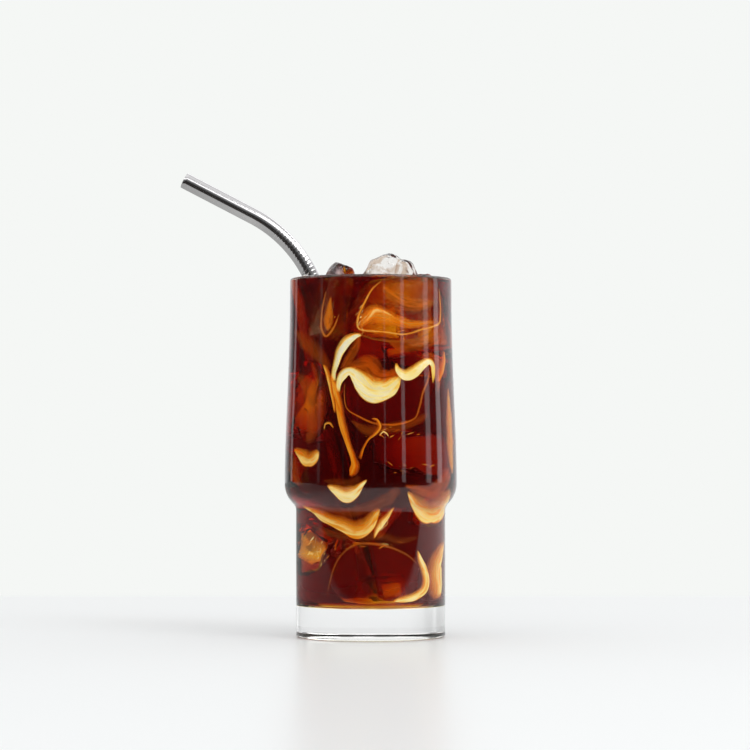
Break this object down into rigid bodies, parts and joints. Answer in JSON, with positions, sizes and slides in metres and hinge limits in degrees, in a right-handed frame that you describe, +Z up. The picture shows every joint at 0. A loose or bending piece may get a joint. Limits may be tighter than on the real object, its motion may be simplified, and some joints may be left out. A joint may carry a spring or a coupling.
{
  "type": "iced cold brew coffee in a glass",
  "caption": "Iced black coffee with cream swirls in a stepped clear highball glass, with ice standing above the lip and a bent steel straw.",
  "frame": {"origin": "centre of the glass's flat foot, where it stands", "axes": "+Z up along the glass's axis, the straw's bent end points to -X, and the front that faces the drinker is -Y"},
  "size_m": [0.1108, 0.0688, 0.1856],
  "materials": {
    "clear_glass": "clear pressed glass, polished, with a thick foot",
    "coffee": "clear dark red-brown drink with ice and swirls of cream in it",
    "steel": "polished stainless steel with fine lengthwise grain",
    "ice": "clear wet ice with rounded edges"
  },
  "bodies": {
    "root": {"glass": "clear_glass", "coffee": "coffee", "straw": "steel", "ice_front": "ice", "ice_left": "ice", "ice_back": "ice"}
  },
  "joints": []
}
